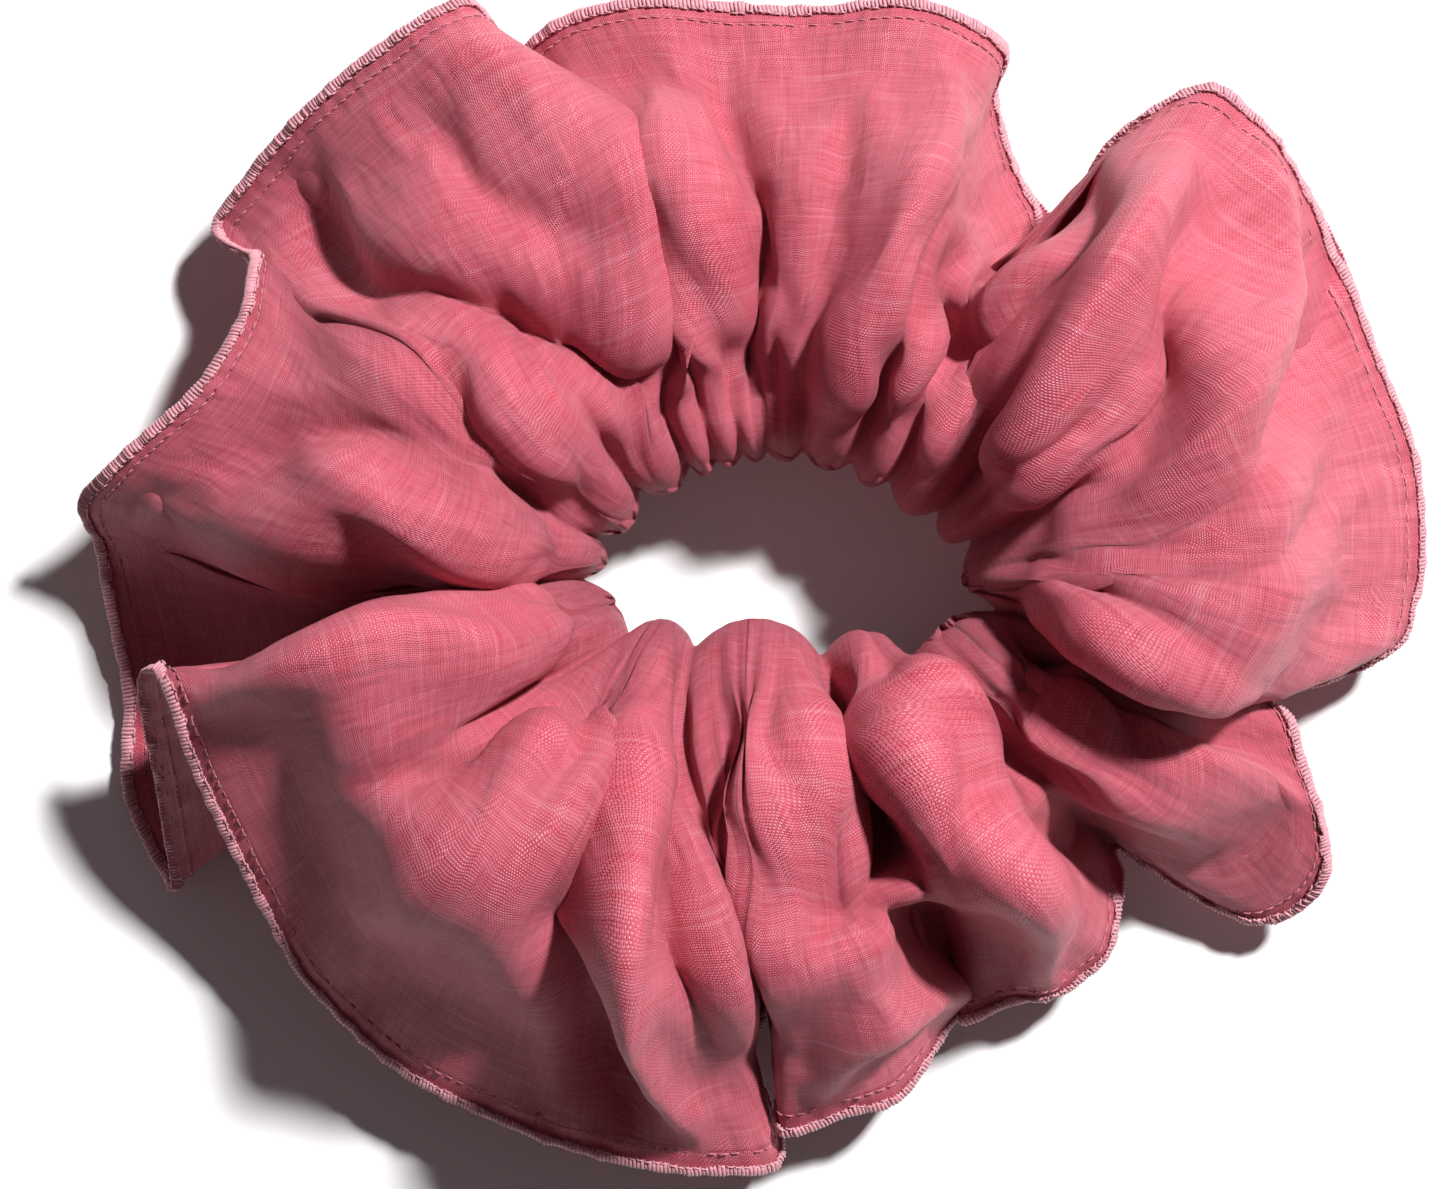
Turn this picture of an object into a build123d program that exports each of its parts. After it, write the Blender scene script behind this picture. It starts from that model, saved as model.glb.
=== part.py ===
from build123d import *
import os

# Oversized fabric scrunchie, lying flat.  Millimetres, +Z up, standing on Z = 0.
# The loop is cut at one plane into a held side and a pulled side, because the
# stretch of the elastic is carried by one sliding joint along +X.

# Whole object
height = 46.0  # top of the ruffles above the surface it lies on
cut_x = 10.0  # plane where the held side meets the pulled side
reach = 200.0  # larger than the object, for the blocks that split it

# Hair opening, an oval
hole_x, hole_y = 4.5, 3.0  # its centre
hole_a, hole_b = 24.0, 14.5  # half its length and half its width

# Elastic band, standing on edge inside the cover, its ends lapped and sewn
elastic_a, elastic_b = 30.0, 20.0  # half axes of the oval that it lies in
elastic_thick, elastic_wide = 1.0, 8.0
elastic_low = 14.0  # lower edge of the band
lap_long = 12.0  # how far one end lies over the other
lap_rows = 3  # rows of thread through the lap
lap_stitches = 4  # stitches in each row
lap_thread = 0.3  # thread thickness

# Cover: one strip folded lengthwise, gathered round the elastic
wall = 2.4  # thickness that stands for the crushed gathers
ply = 0.25  # one layer of the fabric
rim_z = 9.0  # height of the joined outer edge

# Shares of the outline where each thing on the joined edge begins and ends
puff_share = 0.945  # where the two layers part into the puffed body
stitch_in, stitch_out = 0.960, 0.966  # straight stitching
serge_in, serge_line, serge_out = 0.978, 0.982, 1.0  # overlock band
edge_share = 0.988  # raw edges of the two layers
thread = 0.25  # how far thread stands off the fabric
seam_wide = 0.4  # closing seam's thread line

# Outer edge of the ruffles seen from above, rounded off between its lobes
outline_points = [
    (-31, 72), (-14, 76.5), (17, 76.5), (33, 71), (46, 67.5), (59, 63),
    (71, 52), (82, 31), (88.5, 5), (86, -14), (81, -27), (74, -39),
    (63, -47), (51, -53), (39, -59), (24, -67), (6, -74.5), (-12, -76.5),
    (-35, -69.5), (-55, -56), (-70, -42), (-81, -27), (-86.5, -10), (-88.5, 8),
    (-84, 24), (-76, 39), (-68, 52), (-55, 64), (-43, 70),
]  # fmt: skip


def outline(share, z=0.0):
    """The outer edge as a face at height z, drawn in towards the middle by share."""
    edge = Spline(*[(x * share, y * share) for x, y in outline_points], periodic=True)
    return Pos(0, 0, z) * make_face(edge)


def oval(a, b, z=0.0):
    """An oval face about the hair opening's centre."""
    return Pos(hole_x, hole_y, z) * Ellipse(a, b)


def rim_band(inner, outer, z, thick):
    """A flat band that follows the outer edge, between two shares of the outline."""
    return extrude(outline(outer, z) - outline(inner, z), thick)


def puffed_body(inset):
    """The ruffles as one plump ring, inset all round by a wall thickness."""
    tuck = inset / 80
    low, top = inset, height - inset
    levels = [
        (low, 0.86), (low + 4, 0.93), (rim_z + 1, puff_share), (20, 0.93),
        (32, 0.82), (top - 3.5, 0.64), (top, 0.48),
    ]  # fmt: skip
    return loft([outline(share - tuck, z) for z, share in levels])


def hair_hole(inset):
    """The opening through the middle, flared where the gathers roll over."""
    levels = [(-1, 1.30), (12, 1.0), (27, 1.0), (height + 1, 1.55)]
    return loft([oval(hole_a * k + inset, hole_b * k + inset, z) for z, k in levels])


def cover():
    """The fabric: a hollow puffed ring and the thin joined edge round it."""
    body = puffed_body(0) - hair_hole(0)
    hollow = puffed_body(wall) - hair_hole(wall)
    joined_edge = rim_band(puff_share - wall / 160, edge_share, rim_z - ply, 2 * ply)
    return body - hollow + joined_edge


def elastic():
    """The flat band in its oval, with the lapped end lying along its outside."""
    outer = oval(elastic_a + elastic_thick, elastic_b + elastic_thick)
    band = outer - oval(elastic_a, elastic_b)
    lapped = oval(elastic_a + 2 * elastic_thick, elastic_b + 2 * elastic_thick) - outer
    lap_window = Pos(hole_x - elastic_a, hole_y) * Rectangle(reach / 10, lap_long)
    lap = lapped & lap_window
    return Pos(0, 0, elastic_low) * extrude(band + lap, elastic_wide)


def elastic_join_thread():
    """Rows of stitches through both ends of the band."""
    long = 2 * elastic_thick + 2 * lap_thread
    middle_x = hole_x - elastic_a - elastic_thick
    stitch = Rot(0, 90, 0) * Cylinder(lap_thread / 2, long)
    stitches = []
    for row in range(lap_rows):
        z = elastic_low + elastic_wide * (row + 1) / (lap_rows + 1)
        for n in range(lap_stitches):
            y = hole_y + lap_long * 0.7 * (n / (lap_stitches - 1) - 0.5)
            stitches.append(Pos(middle_x, y, z) * stitch)
    return Compound(children=stitches)


def overlock_upper_looper():
    """Thread over the upper face of the joined edge and round its end."""
    top = rim_band(serge_line, serge_out, rim_z + ply, thread)
    end = rim_band(edge_share, serge_out, rim_z - ply, 2 * ply)
    return top + end


def overlock_lower_looper():
    """Thread under the joined edge."""
    return rim_band(serge_line, serge_out, rim_z - ply - thread, thread)


def overlock_needle_thread():
    """The straight thread along the band's inner side, above the fabric."""
    return rim_band(serge_in, serge_line, rim_z + ply, thread)


def edge_stitch_needle_thread():
    """The straight stitching, upper thread."""
    return rim_band(stitch_in, stitch_out, rim_z + ply, thread)


def edge_stitch_bobbin_thread():
    """The straight stitching, lower thread."""
    return rim_band(stitch_in, stitch_out, rim_z - ply - thread, thread)


def closing_seam_thread():
    """The seam that joins the strip's two ends, lying inside the lower layer."""
    start = hole_y - elastic_b - 3 * elastic_thick
    end = -76 * (puff_share - 0.12)
    line = Box(seam_wide, start - end, thread)
    return Pos(-1, (start + end) / 2, wall + thread / 2) * line


def side(shape, held):
    """The part of a shape on one side of the cut."""
    middle = cut_x - reach / 2 if held else cut_x + reach / 2
    return shape & Pos(middle, 0, 0) * Box(reach, 2 * reach, 2 * reach)


def write(name, shape):
    export_step(shape, "parts/" + name + ".step")


os.makedirs("parts", exist_ok=True)
box = outline(1.0).bounding_box()
to_origin = Pos(-box.center().X, -box.center().Y, 0)

crossing = {
    "cover": cover(),
    "elastic": elastic(),
    "overlock_upper_looper": overlock_upper_looper(),
    "overlock_lower_looper": overlock_lower_looper(),
    "overlock_needle_thread": overlock_needle_thread(),
    "edge_stitch_needle_thread": edge_stitch_needle_thread(),
    "edge_stitch_bobbin_thread": edge_stitch_bobbin_thread(),
}
for name, shape in crossing.items():
    write(name + "_held_side", to_origin * side(shape, True))
    write(name + "_pulled_side", to_origin * side(shape, False))
write("elastic_join_thread", to_origin * elastic_join_thread())
write("closing_seam_thread", to_origin * closing_seam_thread())
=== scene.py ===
import math

import bmesh
import bpy
import numpy as np
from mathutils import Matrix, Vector


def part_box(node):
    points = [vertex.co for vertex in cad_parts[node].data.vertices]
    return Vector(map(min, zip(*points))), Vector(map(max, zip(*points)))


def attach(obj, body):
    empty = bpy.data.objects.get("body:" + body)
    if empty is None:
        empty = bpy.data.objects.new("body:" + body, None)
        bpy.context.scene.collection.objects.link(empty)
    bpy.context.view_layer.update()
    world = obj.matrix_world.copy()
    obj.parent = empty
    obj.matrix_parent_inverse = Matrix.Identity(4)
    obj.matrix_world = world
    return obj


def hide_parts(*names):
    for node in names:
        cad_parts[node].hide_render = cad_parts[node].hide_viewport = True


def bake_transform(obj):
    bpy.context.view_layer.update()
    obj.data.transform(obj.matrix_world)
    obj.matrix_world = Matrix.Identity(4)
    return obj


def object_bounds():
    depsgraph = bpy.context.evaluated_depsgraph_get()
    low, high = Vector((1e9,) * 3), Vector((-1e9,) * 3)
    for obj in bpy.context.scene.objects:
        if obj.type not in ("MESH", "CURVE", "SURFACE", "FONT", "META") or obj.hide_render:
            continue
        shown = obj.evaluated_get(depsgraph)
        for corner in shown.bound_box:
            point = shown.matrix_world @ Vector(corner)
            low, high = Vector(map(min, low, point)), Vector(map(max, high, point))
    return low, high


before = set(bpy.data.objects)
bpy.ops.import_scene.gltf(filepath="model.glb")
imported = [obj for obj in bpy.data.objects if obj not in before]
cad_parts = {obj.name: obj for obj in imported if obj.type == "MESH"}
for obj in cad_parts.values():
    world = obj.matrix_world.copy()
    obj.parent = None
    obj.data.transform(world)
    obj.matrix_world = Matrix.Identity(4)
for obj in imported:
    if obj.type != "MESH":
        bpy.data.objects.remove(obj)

cad_low, cad_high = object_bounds()
mm = 0.001

# ---------------------------------------------------------------------------
# Elastic band: flat white braided elastic, its ends lapped and sewn into a
# loop.  It stands on edge inside the cover and draws the cover into gathers.

elastic_low, elastic_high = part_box("elastic_pulled_side")
lap_low, lap_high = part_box("elastic_held_side")
elastic_thick = 1.0 * mm
ring_x = (lap_low[0] + elastic_thick + elastic_high[0]) / 2
ring_y = (lap_low[1] + lap_high[1]) / 2
elastic_a = elastic_high[0] - ring_x
elastic_b = (lap_high[1] - lap_low[1]) / 2
elastic_wide = elastic_high[2] - elastic_low[2]
braid_ribs = 9


def new_object(name, points, faces):
    """A mesh from its points and faces, and the object that shows it."""
    mesh = bpy.data.meshes.new(name)
    mesh.from_pydata(np.asarray(points, float).reshape(-1, 3).tolist(), [], faces)
    mesh.update()
    thing = bpy.data.objects.new(name, mesh)
    bpy.context.scene.collection.objects.link(thing)
    return thing


def face_outwards(thing):
    """Turn every face of a closed mesh outwards."""
    shape = bmesh.new()
    shape.from_mesh(thing.data)
    bmesh.ops.recalc_face_normals(shape, faces=shape.faces)
    shape.to_mesh(thing.data)
    shape.free()


def band(name, angles, outwards, closed):
    """A flat ribbed band along the oval, thickness outwards from its inner face."""
    across = np.linspace(0, 1, 4 * braid_ribs + 1)
    ribbed = 0.12 * mm * np.abs(np.sin(math.pi * braid_ribs * across))
    profile = [(-r, h) for r, h in zip(ribbed, across)]
    profile += [(elastic_thick + r, h) for r, h in zip(ribbed[::-1], across[::-1])]
    points = []
    for angle in angles:
        for depth, share in profile:
            off = outwards + depth * 0.9
            points.append((ring_x + (elastic_a - elastic_thick + off) * math.cos(angle),
                           ring_y + (elastic_b - elastic_thick + off) * math.sin(angle),
                           elastic_low[2] + share * elastic_wide))
    count, section = len(angles), len(profile)
    quads = []
    for i in range(count if closed else count - 1):
        j = (i + 1) % count
        for k in range(section):
            after = (k + 1) % section
            quads.append((i * section + k, i * section + after, j * section + after, j * section + k))
    if not closed:
        quads.append(tuple(range(section - 1, -1, -1)))
        quads.append(tuple((count - 1) * section + k for k in range(section)))
    return new_object(name, points, quads)


class Value:
    """A shader value: the usual signs add the Math nodes."""

    def __init__(self, tree, socket):
        self.tree, self.socket = tree, socket

    def math(self, operation, *others):
        node = self.tree.nodes.new("ShaderNodeMath")
        node.operation = operation
        for place, value in zip(node.inputs, (self, *others)):
            put(self.tree, place, value)
        return Value(self.tree, node.outputs[0])

    def __add__(self, other):
        return self.math("ADD", other)

    def __mul__(self, other):
        return self.math("MULTIPLY", other)

    def __sub__(self, other):
        return self.math("SUBTRACT", other)

    def __rsub__(self, other):
        return (self * -1) + other

    def __abs__(self):
        return self.math("ABSOLUTE")

    def sine(self):
        return self.math("SINE")

    def between(self, low, high):
        """0 below low, 1 above high, and a smooth rise between."""
        node = self.tree.nodes.new("ShaderNodeMapRange")
        node.interpolation_type = "SMOOTHSTEP"
        for name, value in (("Value", self), ("From Min", low), ("From Max", high)):
            put(self.tree, node.inputs[name], value)
        return Value(self.tree, node.outputs[0])

    __radd__, __rmul__ = __add__, __mul__


def put(tree, socket, value):
    """Set a socket, or link it where the value is a shader value."""
    if isinstance(value, Value):
        tree.links.new(value.socket, socket)
    else:
        socket.default_value = value


class Look:
    """One finish: a Principled shader and the nodes that feed it."""

    def __init__(self, name, constants):
        self.material = bpy.data.materials.new(name)
        self.material.use_nodes = True
        self.tree = self.material.node_tree
        self.shader = self.tree.nodes["Principled BSDF"]
        self.feed(constants)

    def feed(self, sockets):
        for name, value in sockets.items():
            put(self.tree, self.shader.inputs[name], value)

    def node(self, kind, output, settings, sockets):
        """One node of a kind: its settings first, then its sockets; gives one output."""
        node = self.tree.nodes.new(kind)
        for name, value in settings.items():
            setattr(node, name, value)
        for name, value in sockets.items():
            put(self.tree, node.inputs[name], value)
        return Value(self.tree, node.outputs[output])

    def mix(self, share, first, second):
        """A colour between two others."""
        return self.node("ShaderNodeMix", 2, {"data_type": "RGBA"}, {0: share, 6: first, 7: second})

    def noise(self, place, scale, detail=2.0):
        return self.node("ShaderNodeTexNoise", 0, {},
                         {"Vector": place, "Scale": scale, "Detail": detail})

    def drawn_out(self, place, u_times, v_times):
        """A place stretched, so that noise on it runs in threads."""
        return self.node("ShaderNodeMapping", 0, {},
                         {"Vector": place, "Scale": (u_times, v_times, 1)})

    def bump(self, height, strength, distance, before=None):
        sockets = {"Height": height, "Strength": strength, "Distance": distance}
        if before is not None:
            sockets["Normal"] = before
        return self.node("ShaderNodeBump", 0, {}, sockets)


def stretches(piece):
    """Bakes the piece's placement into its mesh."""
    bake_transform(piece)


braid = Look("white_braid", {"Roughness": 0.7, "Sheen Weight": 0.2})
braid_place = braid.node("ShaderNodeTexCoord", 3, {}, {})
braid_noise = braid.noise(braid_place, 2500, 3.0)
braid.feed({"Base Color": braid.mix(braid_noise, (0.72, 0.70, 0.68, 1), (0.93, 0.92, 0.90, 1)),
            "Normal": braid.bump(braid_noise, 0.5, 0.15 * mm)})
around = np.linspace(0, 2 * math.pi, 180, endpoint=False)
elastic = band("elastic_band", around, 0.0, True)
lap_angles = math.pi + np.linspace(-0.29, 0.29, 14)
lap = band("elastic_lap", lap_angles, elastic_thick * 1.1, False)
for piece in (elastic, lap):
    face_outwards(piece)
    piece.data.shade_smooth()
    piece.data.materials.append(braid.material)
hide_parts("elastic_pulled_side")
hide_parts("elastic_held_side")
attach(lap, "held_side")
stretches(elastic)

# ---------------------------------------------------------------------------
# Elastic's join: three short rows of stitches through both ends of the band.
# Every row of stitches is one short bar or loop of spun polyester thread,
# repeated along a line on the cloth or the band.


def spun_thread(name, dark, light):
    """The finish of a spun thread, between a darker and a lighter colour."""
    look = Look(name, {"Roughness": 0.6, "Sheen Weight": 0.3})
    fibres = look.noise(look.node("ShaderNodeTexCoord", 3, {}, {}), 1800, 3.0)
    look.feed({"Base Color": look.mix(fibres, dark, light), "Normal": look.bump(fibres, 0.6, 0.08 * mm)})
    return look


seam_look = spun_thread("pink_thread", (0.38, 0.07, 0.11, 1), (0.66, 0.22, 0.27, 1))


def thread_bar(name, points, radius, sides=5):
    """A short length of thread through a few points, with rounded-off ends."""
    points = np.array(points) * mm
    ring = np.linspace(0, 2 * math.pi, sides, endpoint=False)
    made, quads = [], []
    for n, place in enumerate(points):
        ahead = points[min(n + 1, len(points) - 1)] - points[max(n - 1, 0)]
        ahead /= np.linalg.norm(ahead)
        first = np.cross(ahead, [1.0, 0.3, 0.2])
        first /= np.linalg.norm(first)
        second = np.cross(ahead, first)
        thick = radius * mm * (0.55 if n in (0, len(points) - 1) else 1.0)
        made += [place + thick * (math.cos(a) * first + math.sin(a) * second) for a in ring]
        if n:
            base = n * sides
            for k in range(sides):
                after = (k + 1) % sides
                quads.append((base - sides + k, base - sides + after, base + after, base + k))
    quads.append(tuple(range(sides - 1, -1, -1)))
    quads.append(tuple((len(points) - 1) * sides + k for k in range(sides)))
    thing = new_object(name, made, quads)
    face_outwards(thing)
    return thing


def stitch_tree():
    """Geometry nodes: one stitch on every point of a line, turned to lie on the cloth."""
    tree = bpy.data.node_groups.new("row_of_stitches", "GeometryNodeTree")
    for name, kind in (("Line", "NodeSocketGeometry"), ("Stitch", "NodeSocketObject"),
                       ("Unevenness", "NodeSocketFloat"), ("Seed", "NodeSocketInt"),
                       ("Thread", "NodeSocketMaterial")):
        tree.interface.new_socket(name, in_out="INPUT", socket_type=kind)
    tree.interface.new_socket("Stitches", in_out="OUTPUT", socket_type="NodeSocketGeometry")
    add = tree.nodes.new
    given, made = add("NodeGroupInput"), add("NodeGroupOutput")
    stitch = add("GeometryNodeObjectInfo")
    place = add("GeometryNodeInstanceOnPoints")
    turn = add("FunctionNodeAxesToRotation")
    turn.primary_axis, turn.secondary_axis = "Z", "X"
    up, ahead = add("GeometryNodeInputNamedAttribute"), add("GeometryNodeInputNamedAttribute")
    for node, name in ((up, "up"), (ahead, "ahead")):
        node.data_type = "FLOAT_VECTOR"
        node.inputs["Name"].default_value = name
    size = add("FunctionNodeRandomValue")
    size.data_type = "FLOAT"
    less, more = add("ShaderNodeMath"), add("ShaderNodeMath")
    less.operation, more.operation = "SUBTRACT", "ADD"
    less.inputs[0].default_value = more.inputs[0].default_value = 1.0
    real, paint = add("GeometryNodeRealizeInstances"), add("GeometryNodeSetMaterial")
    link = tree.links.new
    link(given.outputs["Line"], place.inputs["Points"])
    link(given.outputs["Stitch"], stitch.inputs["Object"])
    link(stitch.outputs["Geometry"], place.inputs["Instance"])
    link(up.outputs["Attribute"], turn.inputs["Primary Axis"])
    link(ahead.outputs["Attribute"], turn.inputs["Secondary Axis"])
    link(turn.outputs["Rotation"], place.inputs["Rotation"])
    link(given.outputs["Unevenness"], less.inputs[1])
    link(given.outputs["Unevenness"], more.inputs[1])
    link(less.outputs[0], size.inputs[2])
    link(more.outputs[0], size.inputs[3])
    link(given.outputs["Seed"], size.inputs["Seed"])
    link(size.outputs[1], place.inputs["Scale"])
    link(place.outputs["Instances"], real.inputs["Geometry"])
    link(real.outputs["Geometry"], paint.inputs["Geometry"])
    link(given.outputs["Thread"], paint.inputs["Material"])
    link(paint.outputs["Geometry"], made.inputs["Stitches"])
    return tree


stitches = stitch_tree()


def lengths_along(line):
    """The length from the start of a line to each of its points."""
    return np.concatenate([[0], np.cumsum(np.linalg.norm(np.diff(line, axis=0), axis=1))])


def sample(line, at):
    """Points of a line at given lengths along it."""
    along = lengths_along(line)
    return np.stack([np.interp(at, along, line[:, k]) for k in range(line.shape[1])], axis=1)


def sample_like(values, along, at):
    """Directions given along a line, at given lengths along it."""
    return np.stack([np.interp(at, along, values[:, k]) for k in range(3)], axis=1)


def make_plain(thing):
    """Carry out the thing's modifiers, so that its mesh is final."""
    seen = thing.evaluated_get(bpy.context.evaluated_depsgraph_get())
    made = bpy.data.meshes.new_from_object(seen)
    thing.modifiers.clear()
    thing.data = made
    made.name = thing.name


def stitch_row(name, line, up, pitch, bar, seed, look=seam_look, unevenness=0.12):
    """A row of like stitches along a line, every pitch, as one plain mesh."""
    along = lengths_along(line)
    at = np.arange(0.5 * pitch, along[-1], pitch)
    where = sample(line, at)
    facing = sample_like(up, along, at)
    ahead = sample(line, np.minimum(at + 0.4 * pitch, along[-1])) - sample(line, at - 0.4 * pitch)
    row = new_object(name, where, [])
    for attribute, values in (("up", facing), ("ahead", ahead)):
        values = values / np.maximum(np.linalg.norm(values, axis=1), 1e-9)[:, None]
        kept = row.data.attributes.new(attribute, "FLOAT_VECTOR", "POINT")
        kept.data.foreach_set("vector", values.astype(np.float32).reshape(-1))
    grow = row.modifiers.new("stitches", "NODES")
    grow.node_group = stitches
    for item in stitches.interface.items_tree:
        values = {"Stitch": bar, "Unevenness": unevenness, "Seed": seed, "Thread": look.material}
        if item.name in values and item.in_out == "INPUT":
            grow[item.identifier] = values[item.name]
    make_plain(row)
    row.data.shade_smooth()
    return row


seam_bar = thread_bar("seam_bar", [
    (-0.75, 0, 0), (-0.4, 0, -0.12), (0.4, 0, -0.12), (0.75, 0, 0)], 0.12)
join_up = np.array([[-1.0, 0, 0]] * 2)
join_rows = []
for n in range(3):
    z = elastic_low[2] + elastic_wide * (n + 1) / 4
    x = ring_x - elastic_a - 1.25 * mm
    line = np.array([[x, ring_y - 4 * mm, z], [x, ring_y + 4 * mm, z]])
    name = "elastic_join_stitches_" + str(n + 1)
    join_rows.append(stitch_row(name, line, join_up, 1.8 * mm, seam_bar, 4 + n))
for piece in join_rows:
    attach(piece, "held_side")
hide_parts("elastic_join_thread")

# ---------------------------------------------------------------------------
# Cover, the cloth: one strip of plain-weave slub cotton, folded lengthwise
# with the right side out and gathered round the elastic.  The two raw edges
# lie together at the outside; the layers between puff up into lobes.

strip_half = 73.5 * mm  # from the fold to the raw edge
columns = 420  # mesh columns along the strip
rows_per_layer = 25

# The outer edge, lobe by lobe, clockwise from the top.  Each lobe has the
# ring angles where it starts and ends, in degrees, its crest's height at its
# start, middle and end, how far it leans over clockwise at its start and end,
# and its edge's points in millimetres: x, y and height above the surface.
lobes = [
    ("top", (123, 52), (18, 37, 24), (13, -7), [
        (-33, 67.5, 7), (-31, 70.5, 13), (-25.5, 74.5, 20), (-14, 76.5, 24), (5.5, 75.6, 22),
        (18.5, 76.5, 24), (27, 74.5, 22), (32.5, 71.3, 17), (31.5, 66.8, 11), (33, 61.5, 8),
        (35.5, 55.7, 5), (40, 50, 5)]),
    ("upper right", (52, -15), (34, 46, 36), (-9, 3), [
        (40, 47, 12), (44.5, 56.6, 21), (51, 62.2, 26), (58.2, 65, 27), (63.4, 61.5, 25),
        (69.2, 55, 21), (76.4, 44.7, 17), (81.6, 31.7, 14), (87.0, 18.7, 12), (88.4, 4.4, 11),
        (86.5, -2.4, 10), (81, -8.6, 9), (66.6, -13.8, 5), (57, -15.8, 3)]),
    ("lower right", (-15, -45), (18, 31, 24), (4, 0), [
        (59, -13.8, 13), (68.6, -15.4, 19), (71.8, -24.2, 18), (75.4, -35.7, 14), (72, -42.2, 9),
        (65.6, -43.7, 6), (55, -38.2, 4)]),
    ("lower right, under", (-45, -75), (20, 35, 28), (0, 0), [
        (48.3, -34, 5), (48.8, -38, 10), (47.4, -44.4, 11), (44.8, -49.3, 11), (39.3, -52.8, 10),
        (29.6, -53.5, 6)]),
    ("bottom", (-75, -132), (26, 39, 26), (-3, 3), [
        (26.3, -51, 3), (25, -58, 8), (19.2, -66.5, 12), (12, -68.7, 13), (3.3, -71.2, 13),
        (4.2, -64, 8), (6.5, -57, 4), (1, -52.8, 3)]),
    ("bottom left", (-132, -170), (34, 44, 36), (0, 0), [
        (-1, -60.6, 4), (3.3, -74.8, 9), (-3.6, -76.6, 12), (-17.9, -75, 13), (-33.5, -69.7, 13),
        (-48.4, -62, 13), (-59.5, -49.6, 14), (-64.4, -41.1, 17), (-67.9, -33.3, 21),
        (-71.8, -23, 27), (-74.7, -12.9, 31), (-77, -9.7, 29), (-79.5, -12.3, 24),
        (-78.7, -24.2, 16), (-77.9, -36.5, 9)]),
    ("left, under", (-170, -177), (12, 10, 14), (0, -6), [
        (-78.3, -39.5, 5), (-82.2, -33.3, 4), (-85.2, -25.5, 3), (-85, -13.8, 3), (-87, -0.8, 6),
        (-87.5, 6.3, 10)]),
    ("left", (-177, -205), (36, 44, 36), (-13, -2), [
        (-88.4, 11.8, 17), (-82.9, 16.7, 25), (-71.2, 26.2, 31), (-66.2, 34.9, 28),
        (-65.6, 40.1, 23), (-66.6, 44, 17), (-71, 47, 12)]),
    ("upper left", (-205, -237), (24, 40, 38), (-2, 17), [
        (-71.7, 49.6, 10), (-67.9, 54, 14), (-62.7, 59.2, 19), (-53.6, 66.1, 26), (-45.8, 71, 30),
        (-40, 74.3, 30), (-36.9, 75.3, 28), (-35, 73, 20), (-33.9, 70, 11)]),
]

# Folds across the lobes, each a line on the upper layer seen from above: how
# far it rises or sinks, how wide it is, and its points, all in millimetres.
folds = [
    (6, 7, [(-62, 43), (-47, 31), (-32, 22), (-17, 10)]),
    (-9, 7, [(-61, 52), (-53, 40), (-40, 35), (-25, 31), (-13, 26)]),
    (6, 9, [(-38, 68), (-20, 60), (-9, 50), (-9, 36), (-12, 28)]),
    (-3.5, 5, [(-44, 62), (-34, 50), (-20, 44)]),
    (5, 7, [(-46, 36), (-30, 27), (-16, 20)]),
    (-8, 6, [(-5, 69), (-1.6, 51), (-1.6, 34), (-1, 23)]),
    (5, 6, [(25, 66), (18, 44), (12, 31), (6, 20)]),
    (3.5, 4, [(-14, 62), (-6, 46), (-5, 30)]),
    (-4, 4, [(12, 60), (9, 46), (6, 32)]),
    (8, 6, [(36, 15), (37, 26), (45, 42), (56, 57)]),
    (6, 6, [(64, 56), (66, 40), (58, 23), (46, 13)]),
    (-9, 7, [(57, 47), (51, 35), (48, 24), (42, 17)]),
    (-8, 5, [(42, 51), (34, 40), (28, 31), (26, 21)]),
    (5, 3.5, [(19, 42), (18.5, 32), (23, 25), (22, 18)]),
    (-6, 4, [(24, 42), (23, 33), (27, 26)]),
    (-5, 6, [(74, 44), (70, 28), (60, 14), (44, 5)]),
    (6, 5, [(84, -4), (66, -9), (50, -8), (32, -1)]),
    (-3, 5, [(78, 16), (62, 4), (40, 1)]),
    (5, 6, [(70, -28), (56, -20), (36, -14)]),
    (-6, 4, [(66, -21), (50, -17), (34, -12)]),
    (-5, 5, [(50, -38), (36, -28), (26, -18)]),
    (4, 5, [(44, -46), (34, -34), (24, -22)]),
    (7, 5, [(38, -50), (34, -38), (24, -26), (20, -14)]),
    (-7, 5, [(24, -46), (18, -40), (12, -40), (6, -42)]),
    (6, 4, [(16, -11), (22, -20), (23, -30), (18, -40), (11, -44)]),
    (-7, 4, [(10, -14), (15, -24), (15, -34), (9, -40)]),
    (3, 6, [(4, -10), (6, -22), (5, -34)]),
    (-5, 3, [(8, -28), (9, -36), (5, -39)]),
    (6, 6, [(34, -60), (26, -52), (12, -56), (8, -66)]),
    (6, 6, [(-66, -12), (-46, -7), (-26, -5)]),
    (4, 11, [(-56, -48), (-42, -38), (-30, -30), (-20, -24)]),
    (-6, 6, [(-46, -24), (-36, -22), (-26, -17), (-18, -14)]),
    (4, 3, [(-30, -25), (-26, -20), (-20, -18)]),
    (-6, 4.5, [(-25, 17), (-21, 11), (-16.5, 5)]),
    (3.5, 2.5, [(-28, 14), (-25.5, 8), (-20, 3.5)]),
    (3.5, 2.5, [(-24, 20), (-18, 13), (-14.5, 5)]),
    (-10, 7, [(-15, -14), (-20, -32), (-25, -44), (-21, -60), (-15, -70)]),
    (9, 4.5, [(-13, -8), (-16, -26), (-17, -43), (-13, -60), (-7, -71)]),
    (-6, 3.5, [(-11, -14), (-12, -32), (-9, -46), (-4, -60)]),
    (5, 4, [(-9, -8), (-8.5, -28), (-5, -42), (0, -60)]),
    (5, 6, [(-58, 18), (-42, 9), (-24, 5)]),
    (-4, 7, [(-70, 16), (-52, 20), (-36, 16)]),
]


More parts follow.
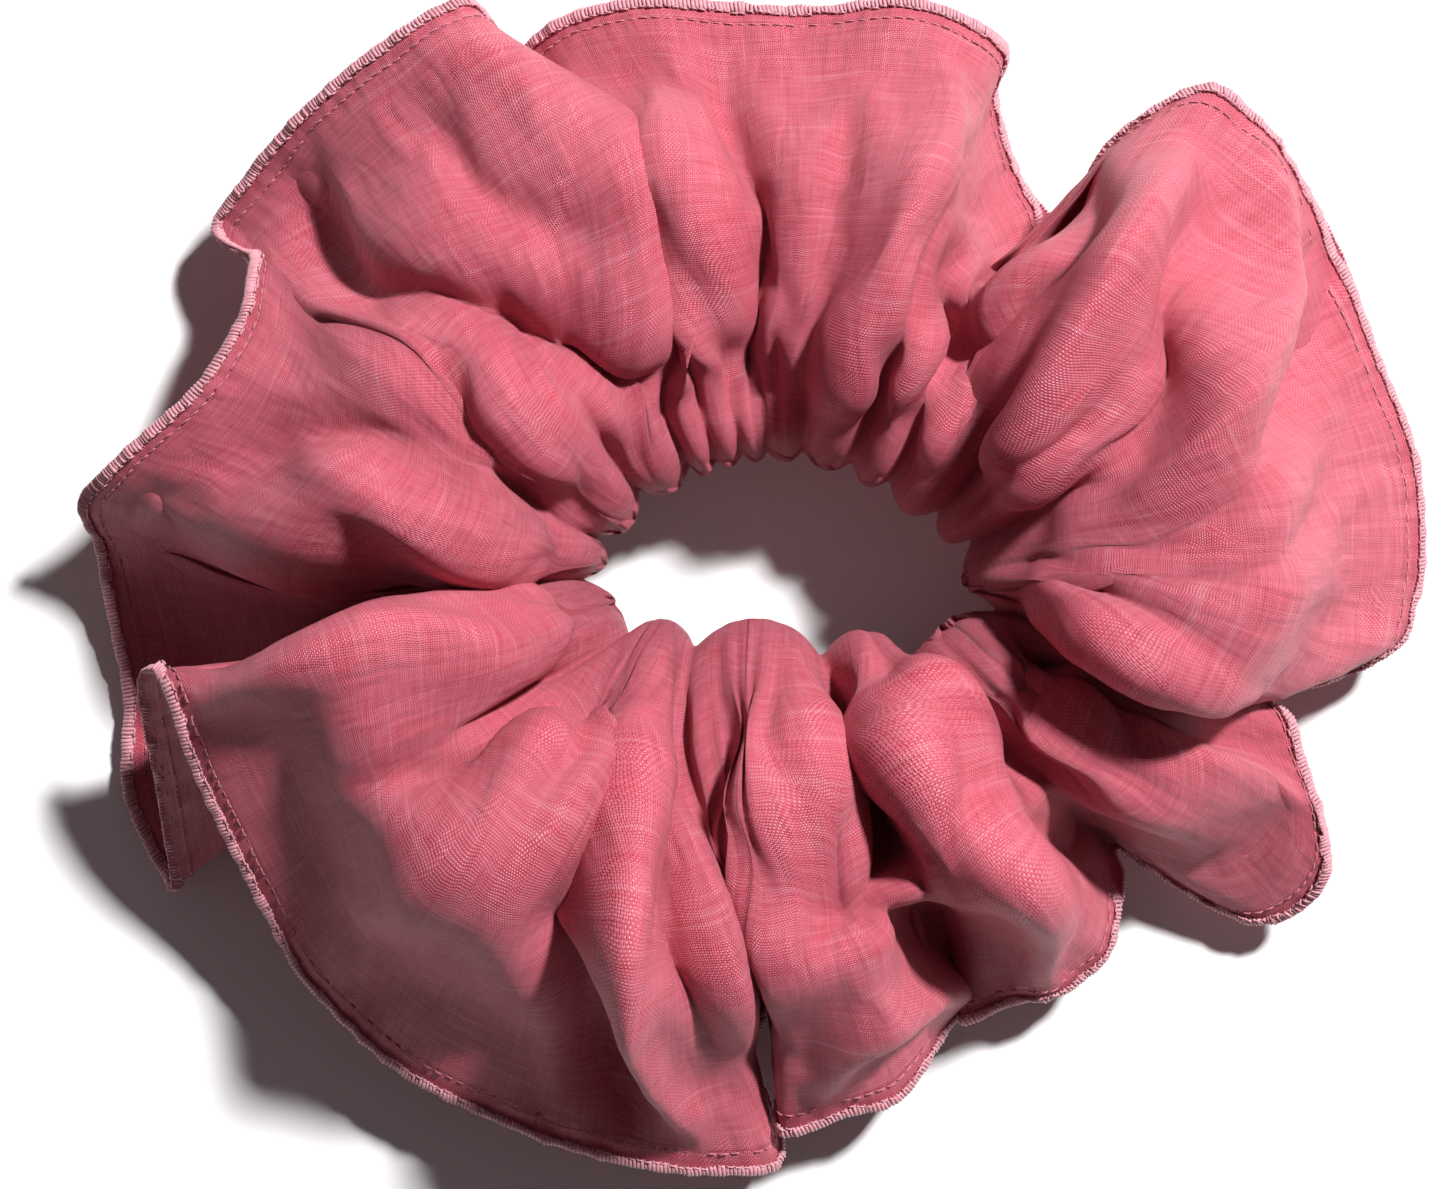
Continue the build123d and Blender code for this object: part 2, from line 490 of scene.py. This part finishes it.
def smooth_ring(values, width):
    """Round off values that run once round the loop, over a width in columns."""
    reach = int(3 * width)
    weights = np.exp(-0.5 * (np.arange(-reach, reach + 1) / width) ** 2)
    weights /= weights.sum()
    long = np.concatenate([values[-reach:], values, values[:reach]])
    return np.convolve(long, weights, "valid")


def curve_through(points, per_span, closed=False):
    """A smooth curve through points, as many small steps (Catmull-Rom)."""
    points = np.asarray(points, float)
    count = len(points)
    spans = count if closed else count - 1
    t = np.linspace(0, 1, per_span, endpoint=False)[:, None]
    steps = []
    for i in range(spans):
        at = [(i + k) % count if closed else min(max(i + k, 0), count - 1) for k in (-1, 0, 1, 2)]
        a, b, c, d = points[at]
        steps.append(0.5 * (2 * b + (c - a) * t + (2 * a - 5 * b + 4 * c - d) * t**2
                            + (3 * b - a - 3 * c + d) * t**3))
    if not closed:
        steps.append(points[-1:])
    return np.concatenate(steps)


edge_points, edge_angle, edge_crest, edge_lean = [], [], [], []
for _, angles, crests, leans, points in lobes:
    for n, point in enumerate(points):
        t = (n + 0.5) / len(points)
        edge_points.append(point)
        edge_angle.append(np.interp(t, [0, 1], angles))
        edge_crest.append(np.interp(t, [0, 0.25, 0.75, 1], [crests[0], crests[1], crests[1], crests[2]]))
        edge_lean.append(np.interp(t, [0, 0.35, 0.65, 1], [leans[0], 0, 0, leans[1]]))
edge_points = np.array(edge_points) * mm
edge_steps = 24  # between one point of the edge and the next
edge_line = curve_through(edge_points, edge_steps, closed=True)
edge_line = np.concatenate([edge_line, edge_line[:1]])
strip_long = lengths_along(edge_line)[-1]
along_strip = np.arange(columns) / columns * strip_long
edge = sample(edge_line, along_strip)
knots = lengths_along(edge_line)[:-1:edge_steps]


def round_loop(values, turn=0.0):
    """Values at the edge's points carried to every column; turn is what one lap adds."""
    at = np.concatenate([knots, knots[:1] + strip_long])
    values = np.concatenate([values, [values[0] + turn]])
    return np.interp(along_strip, at, values)


ring_angle = np.radians(round_loop(np.array(edge_angle), -360.0))
steady = ring_angle[0] - np.arange(columns) / columns * 2 * math.pi
ring_angle = steady + smooth_ring(ring_angle - steady, 9)
ring_angle = 0.85 * ring_angle + 0.15 * (steady + np.mean(ring_angle - steady))
crest = smooth_ring(round_loop(np.array(edge_crest)) * mm, 4)
lean = smooth_ring(round_loop(np.array(edge_lean)) * mm, 4)

out = np.stack([np.cos(ring_angle), np.sin(ring_angle), np.zeros(columns)], axis=1)
ring_middle = np.array([ring_x, ring_y, 0])
fold_slack = 3.2 * mm  # from the elastic's outer face in to the fold
fold = ring_middle + out * [elastic_a - fold_slack, elastic_b - fold_slack, 0]
radial = edge - fold
radial[:, 2] = 0
reach_out = np.linalg.norm(radial, axis=1)
radial /= reach_out[:, None]
travel = radial * reach_out[:, None]
travel_near = np.stack([smooth_ring(travel[:, k], 12) for k in range(3)], axis=1)
start_out = out / np.linalg.norm(out, axis=1)[:, None]
sideways = np.stack([radial[:, 1], -radial[:, 0], np.zeros(columns)], axis=1)

# How far the gathers spill into the opening, most at the bottom and upper right.
from_below = np.cos(ring_angle + math.radians(98))
from_right = np.cos(ring_angle - math.radians(36))
bulge = 8.5 * mm * np.clip((from_below - 0.45) / 0.55, 0, 1) ** 0.8
bulge += 3.5 * mm * np.clip((from_right - 0.70) / 0.30, 0, 1)
bulge = smooth_ring(bulge, 4)[:, None]


def station(out_by, share, height):
    """A point on every rib: out from the fold by a length and a share of the reach."""
    apart = min(1, share / 0.45)  # by the opening the ribs run side by side
    place = fold + start_out * out_by + share * (apart * travel + (1 - apart) * travel_near)
    place += sideways * (lean * apart * math.sin(math.pi * share) ** 1.5)[:, None]
    place[:, 2] = height
    return place


band_middle = (elastic_low[2] + elastic_high[2]) / 2
crest_near = smooth_ring(crest, 12)  # by the opening the lobes' heights run together
crest_mid = 0.5 * crest + 0.5 * smooth_ring(crest, 7)
top_edge = edge + [0, 0, 0.25 * mm]
low_edge = edge - [0, 0, 0.25 * mm]
top_stations = [
    top_edge, station(0, 0.84, edge[:, 2] * 0.75 + crest * 0.30), station(0, 0.58, crest),
    station(0.5 * mm, 0.30, crest_mid * 0.92),
    station(1 * mm - 0.5 * bulge, 0.11, np.maximum(crest_near * 0.40 + 12 * mm, 25 * mm)),
    station(0.4 * mm - bulge, 0.0, band_middle + 5 * mm),
    station(-1.4 * mm - 0.9 * bulge, 0, band_middle - 1 * mm)]
low_stations = [
    station(-1.2 * mm - 0.4 * bulge, 0, band_middle - 8 * mm), station(2 * mm, 0.06, 5 * mm),
    station(0, 0.25, 2.0 * mm), station(0, 0.55, 1.6 * mm),
    station(0, 0.80, 1.2 * mm + 0.25 * edge[:, 2]), low_edge]
ribs = np.stack(top_stations + low_stations, axis=1)

rows = 2 * rows_per_layer + 1
serge_wide = 1.3 * mm
stitch_inset = 3.0 * mm
row_in = np.concatenate([[0, serge_wide], np.linspace(stitch_inset, strip_half, rows_per_layer - 1)])
row_share = row_in / strip_half  # each row's place from the raw edge to the fold
rib_steps = 10  # between one station of a rib and the next
sheet = np.zeros((rows, columns, 3))
for c in range(columns):
    line = curve_through(ribs[c], rib_steps)
    half = lengths_along(line)[rib_steps * (len(top_stations) - 1)]
    full = lengths_along(line)[-1]
    at = np.concatenate([row_share * half, full - row_share[-2::-1] * (full - half)])
    sheet[:, c] = sample(line, at)

# Gathers: the tight pleats stand on the elastic and run out into broad folds.
random = np.random.default_rng(11)


def wander(count, width):
    """A smooth random value for every column, of about unit size."""
    value = smooth_ring(random.standard_normal(columns), width)
    return value / value.std() * count


from_fold = 1 - np.concatenate([row_share, row_share[-2::-1]])
upper = np.clip((from_fold - 0.04) / 0.18, 0, 1) * (np.arange(rows) < rows_per_layer)


def normals(sheet, calming=0):
    """Which way the sheet faces at each place; calming evens it out along the strip."""
    down = np.gradient(sheet, axis=0)
    across = np.roll(sheet, -1, axis=1) - np.roll(sheet, 1, axis=1)
    facing = np.cross(down, across)
    facing /= np.linalg.norm(facing, axis=2)[:, :, None]
    for _ in range(calming):
        facing = 0.5 * facing + 0.25 * (np.roll(facing, 1, axis=1) + np.roll(facing, -1, axis=1))
    return facing / np.maximum(np.linalg.norm(facing, axis=2), 0.2)[:, :, None]


def near_line(sheet, points):
    """How far each place is from a line seen from above, and how far along it."""
    line = curve_through(np.array(points, float) * mm, per_span=8)
    gap = np.linalg.norm(sheet[:, :, None, :2] - line[None, None], axis=3)
    return gap.min(axis=2), gap.argmin(axis=2) / (len(line) - 1)


raised = np.zeros((rows, columns))
for rise, width, points in folds:
    gap, along = near_line(sheet, points)
    fade = np.sin(np.pi * np.clip(along * 0.94 + 0.06, 0, 1)) ** 0.6
    raised += rise * mm * np.exp(-(gap / (0.55 * width * mm)) ** 1.6) * fade
sheet += normals(sheet, 12) * (raised * upper[:, None])[:, :, None]


def rolls(phase):
    """Rounded crests side by side with sharp valleys between, from 1 down to -1."""
    return 2 * (np.sin(phase / 2) ** 2 + 0.006) ** 0.25 - 1


# The ring angles, in degrees, of the deep valleys that part the broad folds.
valleys = np.array([120, 112, 104, 97, 87, 72, 59, 37, 18, -14, -49, -78, -128, -151, -179,
                    -198, -222, -240])
turned = np.degrees(ring_angle)
turned = np.where(turned > 120, turned - 360, turned)
turned = np.where(turned < -240, turned + 360, turned)
gather = np.interp(-turned, -valleys, np.arange(len(valleys)))
gather_wide = -np.diff(valleys)[np.minimum(gather.astype(int), len(valleys) - 2)]
depth = smooth_ring(np.clip((gather_wide / 24) ** 0.6, 0.5, 1.3), 5)
broad = rolls(gather * 2 * math.pi)
tight_pleats = 31  # once round the elastic
tight = rolls(ring_angle * tight_pleats + wander(3.0, 9))
uneven = np.clip(1 + wander(0.45, 10), 0.2, 1.8)
tight_rise = 0.25 * mm + 1.7 * mm * np.exp(-((from_fold - 0.30) / 0.16) ** 2)
tight_rise *= np.clip(from_fold / 0.12, 0, 1) * np.clip((0.85 - from_fold) / 0.3, 0, 1)
near_rise = 1.4 * mm * np.exp(-(from_fold / 0.13) ** 2)
far_rise = 4.8 * mm * np.exp(-((from_fold - 0.29) / 0.20) ** 2)
broad_rise = near_rise[:, None] * depth + far_rise[:, None] * depth**2
lift = tight_rise[:, None] * (tight * uneven)[None, :] + broad_rise * broad[None, :]
facing = normals(sheet, 6)
sheet += facing * lift[:, :, None]
lower = np.clip((np.arange(rows) - rows_per_layer) / 5, 0, 1)
lower *= np.clip((rows - 1 - np.arange(rows)) / 5, 0, 1)
ripples = np.full(columns, 1.4)
for pleats, size, width in ((47, 1.0, 8), (11, 0.4, 14), (61, 0.4, 6)):
    ripples += size * rolls(ring_angle * pleats + wander(2.0, width))
ripple_rise = (7.0 + 6.0 * np.exp(-(from_fold / 0.5) ** 2)) * mm * lower
headroom = sheet[::-1, :, 2] - sheet[:, :, 2] - 0.8 * mm  # up to the layer above
room = 0.9 * np.maximum(headroom, 0.1 * mm)
sheet[:, :, 2] += room * np.tanh(ripple_rise[:, None] * ripples[None, :] / room)
sheet[:, :, 2] = np.maximum(sheet[:, :, 2], 0.6 * mm)


def sheet_faces(columns, rows):
    """Four-sided faces between the rows of a sheet that closes on itself along the strip."""
    row, column = np.mgrid[0 : rows - 1, 0:columns]
    after = (column + 1) % columns
    quads = [row * columns + column, (row + 1) * columns + column,
             (row + 1) * columns + after, row * columns + after]
    return np.stack(quads, axis=-1).reshape(-1, 4).tolist()


ground = [(-3, -3, 0), (3, -3, 0), (3, 3, 0), (-3, 3, 0)]  # what it lies on, well past its edges
faces = sheet_faces(columns, rows)
enlarged = 10  # the cloth is settled at ten times its size, which the solver likes better
settled = sheet
trial = new_object("cloth_trial", sheet * enlarged, faces)
hold = trial.vertex_groups.new(name="hold")
near_fold = np.exp(-(from_fold / 0.16) ** 4)
near_edge = np.exp(-((1 - from_fold) / 0.08) ** 2)
holding = np.clip(near_fold + 0.4 * near_edge + 0.14 + 0.3 * lower, 0, 1)
for r in range(rows):
    hold.add([r * columns + c for c in range(columns)], float(holding[r]), "REPLACE")
cloth = trial.modifiers.new("settle", "CLOTH")
cloth.settings.quality = 6
cloth.settings.mass = 0.15
cloth.settings.tension_stiffness = 20
cloth.settings.compression_stiffness = 20
cloth.settings.shear_stiffness = 6
cloth.settings.bending_stiffness = 0.12
cloth.settings.tension_damping = 8
cloth.settings.compression_damping = 8
cloth.settings.shear_damping = 8
cloth.settings.bending_damping = 0.6
cloth.settings.air_damping = 3
cloth.settings.vertex_group_mass = "hold"
cloth.settings.pin_stiffness = 1.0
cloth.settings.shrink_min = -0.04
cloth.settings.shrink_max = -0.04
cloth.settings.effector_weights.gravity = 0.5
cloth.collision_settings.use_collision = True
cloth.collision_settings.use_self_collision = False
cloth.collision_settings.distance_min = 0.4 * mm * enlarged
cloth.collision_settings.collision_quality = 3
board = new_object("board", ground, [(0, 1, 2, 3)])
board.modifiers.new("stop", "COLLISION")
frames = 14
cloth.point_cache.frame_start = 1
cloth.point_cache.frame_end = frames
for n in range(1, frames + 1):
    bpy.context.scene.frame_set(n)
seen = trial.evaluated_get(bpy.context.evaluated_depsgraph_get())
flat = np.zeros(rows * columns * 3)
seen.data.vertices.foreach_get("co", flat)
settled = 0.55 * flat.reshape(rows, columns, 3) / enlarged + 0.45 * sheet
bpy.data.objects.remove(trial)
bpy.data.objects.remove(board)
bpy.context.scene.frame_set(1)

cover = new_object("cover", settled, faces)
cm = 0.01
strip_map = cover.data.uv_layers.new(name="strip")
u_cm = np.arange(columns + 1) / columns * strip_long / cm
v_cm = np.concatenate([row_in, 2 * strip_half - row_in[-2::-1]]) / cm
row, column = np.mgrid[0 : rows - 1, 0:columns]
corners = [(row, column), (row + 1, column), (row + 1, column + 1), (row, column + 1)]
places = np.stack([np.stack([u_cm[c], v_cm[r]], axis=-1) for r, c in corners], axis=2)
strip_map.data.foreach_set("uv", places.reshape(-1))
finer = cover.modifiers.new("finer", "SUBSURF")
finer.levels = finer.render_levels = 1
finer.boundary_smooth = "PRESERVE_CORNERS"
make_plain(cover)
cover.data.shade_smooth()
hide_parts("cover_held_side", "cover_pulled_side")

# The cloth's look: deep pink yarns one way and pale ones the other, with
# thicker slubs here and there, and a soft sheen. The gaps between the yarns
# are painted deeper as shade and the yarn tops paler as painted light.
yarns_per_cm = 40
weave = Look("pink_slub_cotton", {
    "Specular IOR Level": 0.55, "Sheen Weight": 0.10, "Sheen Roughness": 0.45,
    "Sheen Tint": (1.0, 0.66, 0.72, 1)})
strip_place = weave.node("ShaderNodeUVMap", 0, {"uv_map": "strip"}, {})
u = weave.node("ShaderNodeSeparateXYZ", 0, {}, {0: strip_place})
v = weave.node("ShaderNodeSeparateXYZ", 1, {}, {0: strip_place})
wobble = weave.noise(strip_place, 1.2) * 0.3
u_wave = ((u + wobble) * (math.pi * yarns_per_cm)).sine()
v_wave = ((v + wobble) * (math.pi * yarns_per_cm)).sine()
over = (u_wave * v_wave).between(-0.35, 0.35)  # which yarn is on top
yarn_height = abs(u_wave) * (1 - over) + abs(v_wave) * over
thread_along = weave.noise(weave.drawn_out(strip_place, 1.2, 24), 1.0)
thread_across = weave.noise(weave.drawn_out(strip_place, 24, 1.2), 1.0)
slub_along = weave.noise(weave.drawn_out(strip_place, 0.45, 13), 1.0, 1.0).between(0.60, 0.72)
slub_across = weave.noise(weave.drawn_out(strip_place, 15, 0.5), 1.0, 1.0).between(0.62, 0.74)
cloudy = weave.noise(strip_place, 0.8, 3.0)
# The deep colour is also the painted shade in the yarn gaps, and the pale colour is the painted light on
# the yarn tops.
deep_yarn_and_painted_shade = (0.42, 0.012, 0.038, 1)
pale_yarn_and_painted_light = (0.72, 0.190, 0.258, 1)
slub_yarn = (0.84, 0.46, 0.52, 1)
seam_groove_painted_shade = (0.36, 0.03, 0.06, 1)
# The tone is the two-tone weave and random thread variation, plus painted shade in the yarn gaps and
# painted light on the yarn tops from yarn_height.
weave_tone_and_painted_shade = over * 0.22 + yarn_height * 0.34 + thread_along * 0.50
weave_tone_and_painted_shade = weave_tone_and_painted_shade + thread_across * 0.35 + cloudy * 0.25 - 0.40
cloth_colour_with_painted_shade = weave.mix(weave_tone_and_painted_shade.between(0.0, 1.0), deep_yarn_and_painted_shade, pale_yarn_and_painted_light)
slubs = slub_along * 0.12 + slub_across * 0.07
cloth_colour_with_painted_shade = weave.mix(slubs, cloth_colour_with_painted_shade, slub_yarn)

# The closing seam's groove, darkened with painted shade, and the puckers that the edge stitching draws.
seam_angle = math.radians(-108)
seam_column = int(np.argmin(np.abs(ring_angle - seam_angle)))
seam_u = seam_column / columns * strip_long / cm
seam_gap = abs(u - seam_u)
groove = 1 - seam_gap.between(0.012, 0.07)
from_edge = strip_half / cm - abs(v - strip_half / cm)
stitch_in = stitch_inset / cm
pucker_every = 3.2 * mm / cm
along_stitch = (u * (2 * math.pi / pucker_every)).sine() * 0.5 + 0.5
pucker_zone = 1 - abs(from_edge - stitch_in * 0.7).between(0.10, 0.42)
pucker = pucker_zone * (along_stitch * 0.5 + weave.noise(weave.drawn_out(strip_place, 6, 0.7), 1.0))
stitch_line = 1 - abs(from_edge - stitch_in).between(0.012, 0.05)
# Painted shade: the cloth colour is darkened along the closing seam's groove.
cloth_colour_with_painted_shade = weave.mix(groove * 0.75, cloth_colour_with_painted_shade, seam_groove_painted_shade)
weave.feed({"Base Color": cloth_colour_with_painted_shade, "Roughness": 0.56 - weave_tone_and_painted_shade * 0.16 - slubs * 0.1})
creases = weave.noise(weave.drawn_out(strip_place, 2.2, 1.0), 1.0, 3.0)
crisp = abs(weave.noise(weave.drawn_out(strip_place, 1.7, 0.7), 1.0, 2.0) - 0.5).between(0.0, 0.14)
relief = weave.bump(creases, 0.35, 0.8 * mm)
relief = weave.bump(crisp, 0.30, 0.6 * mm, relief)
relief = weave.bump(pucker, 0.5, 0.5 * mm, relief)
relief = weave.bump(1 - groove, 0.8, 0.5 * mm, relief)
relief = weave.bump(1 - stitch_line, 0.5, 0.25 * mm, relief)
relief = weave.bump(slubs, 0.35, 0.10 * mm, relief)
relief = weave.bump(yarn_height, 0.9, 0.12 * mm, relief)
weave.feed({"Normal": relief})
cover.data.materials.clear()
cover.data.materials.append(weave.material)
stretches(cover)

# ---------------------------------------------------------------------------
# Closing seam: the strip's two ends sewn right sides together before it was
# folded, so that only a groove shows and its stitches lie inside.

cloth_up = normals(settled)
seam_rows = slice(2, rows_per_layer - 9)
seam_up = cloth_up[seam_rows, seam_column]
inside = settled[seam_rows, seam_column] - seam_up * 1.3 * mm
seam = stitch_row("closing_seam_stitches", inside, seam_up, 1.8 * mm, seam_bar, 3)
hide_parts("closing_seam_thread")
stretches(seam)

# ---------------------------------------------------------------------------
# Edge stitching: a straight lockstitch 3 mm in from the raw edges, the needle
# thread on the upper layer and the bobbin thread on the lower one.

closed = np.r_[0:columns, 0]
edge_threads = []


def cloth_line(inward, layer):
    """A line once round the strip at a distance in from the raw edge, and its upward side."""
    at = np.interp(inward, row_in, np.arange(len(row_in)))
    low = int(at)
    part = at - low
    inwards = slice(None) if layer == "upper" else slice(None, None, -1)
    places, ups = settled[inwards], cloth_up[inwards]
    line = places[low] * (1 - part) + places[low + 1] * part
    up = ups[low] * (1 - part) + ups[low + 1] * part
    return line[closed], up[closed]


straight_bar = thread_bar("straight_bar", [
    (-0.62, 0, -0.12), (-0.35, 0, 0.10), (0.35, 0, 0.10), (0.62, 0, -0.12)], 0.11)
for name, layer, seed in (("needle", "upper", 7), ("bobbin", "lower", 8)):
    line, up = cloth_line(stitch_inset, layer)
    piece = stitch_row("edge_stitch_" + name + "_row", line, up, 1.6 * mm, straight_bar, seed)
    node = "edge_stitch_" + name + "_thread"
    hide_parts(node + "_held_side", node + "_pulled_side")
    stretches(piece)
    edge_threads.append(piece)

# ---------------------------------------------------------------------------
# Overlock: the needle thread lies straight along the band's inner side, and
# the two loopers' threads run over and under the raw edges and meet at the end.

overlock_look = spun_thread("pale_pink_thread", (0.42, 0.13, 0.17, 1), (0.78, 0.40, 0.45, 1))
loop_pitch = 0.52 * mm
loop_bar = thread_bar("loop_bar", [
    (-0.14, 1.22, 0.05), (-0.07, 1.05, 0.30), (0.02, 0.55, 0.40), (0.08, 0.02, 0.34),
    (0.12, -0.20, 0.12), (0.14, -0.22, -0.22)], 0.25)
needle_bar = thread_bar("needle_bar", [
    (-0.5, 1.3, 0.1), (-0.25, 1.3, 0.38), (0.3, 1.3, 0.38), (0.5, 1.3, 0.1)], 0.14)
for name, layer, bar, seed in (
    ("overlock_upper_looper", "upper", loop_bar, 11),
    ("overlock_lower_looper", "lower", loop_bar, 12),
    ("overlock_needle_thread", "upper", needle_bar, 13),
):
    line, up = cloth_line(0.0, layer)
    inner, _ = cloth_line(serge_wide, layer)
    inward = inner - line
    ahead = np.gradient(line, axis=0)
    up = np.cross(ahead, inward)
    if layer == "upper":
        line, up = line[::-1], -up[::-1]
    up /= np.linalg.norm(up, axis=1)[:, None]
    pitch = loop_pitch if bar is loop_bar else 1.1 * mm
    piece = stitch_row(name + "_row", line, up, pitch, bar, seed, overlock_look)
    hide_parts(name + "_held_side", name + "_pulled_side")
    stretches(piece)
    edge_threads.append(piece)
for bar in (seam_bar, straight_bar, loop_bar, needle_bar):
    bpy.data.objects.remove(bar)

# The threads sewn along the cloth's edges, in order of their names.
edge_threads.sort(key=lambda piece: piece.name)

# ---------------------------------------------------------------------------
# The stage: the plain pale surface that it lies on, one window's light from
# the upper right and the camera, which looks straight down.

surface = new_object("surface", ground, [(0, 1, 2, 3)])
pale = Look("pale_surface", {"Base Color": (0.92, 0.91, 0.91, 1), "Roughness": 0.8})
surface.data.materials.append(pale.material)

world = bpy.data.worlds.new("room")
bpy.context.scene.world = world
world.use_nodes = True
world.node_tree.nodes["Background"].inputs["Color"].default_value = (1, 0.80, 0.84, 1)
world.node_tree.nodes["Background"].inputs["Strength"].default_value = 0.085
bpy.context.scene.view_settings.view_transform = "Standard"

window = bpy.data.lights.new("window", "AREA")
window.size = 0.10
window.energy = 20.5  # watts
window_holder = bpy.data.objects.new("window", window)
window_holder.location = (0.45, 0.50, 0.84)
aim = Vector((0, 0, 0.02)) - window_holder.location
window_holder.rotation_euler = aim.to_track_quat("-Z", "Y").to_euler()
bpy.context.scene.collection.objects.link(window_holder)

camera_data = bpy.data.cameras.new("camera")
camera = bpy.data.objects.new("camera", camera_data)
bpy.context.scene.collection.objects.link(camera)
frame_wide = 186.6 * mm  # what the picture takes in, at half the ruffles' height
frame_middle = (-4.5 * mm, -0.1 * mm)
camera_data.sensor_width = 36
camera_data.lens = 85
distance = camera_data.lens / camera_data.sensor_width * frame_wide
camera.location = (*frame_middle, distance + 0.5 * cad_high[2])
bpy.context.scene.camera = camera
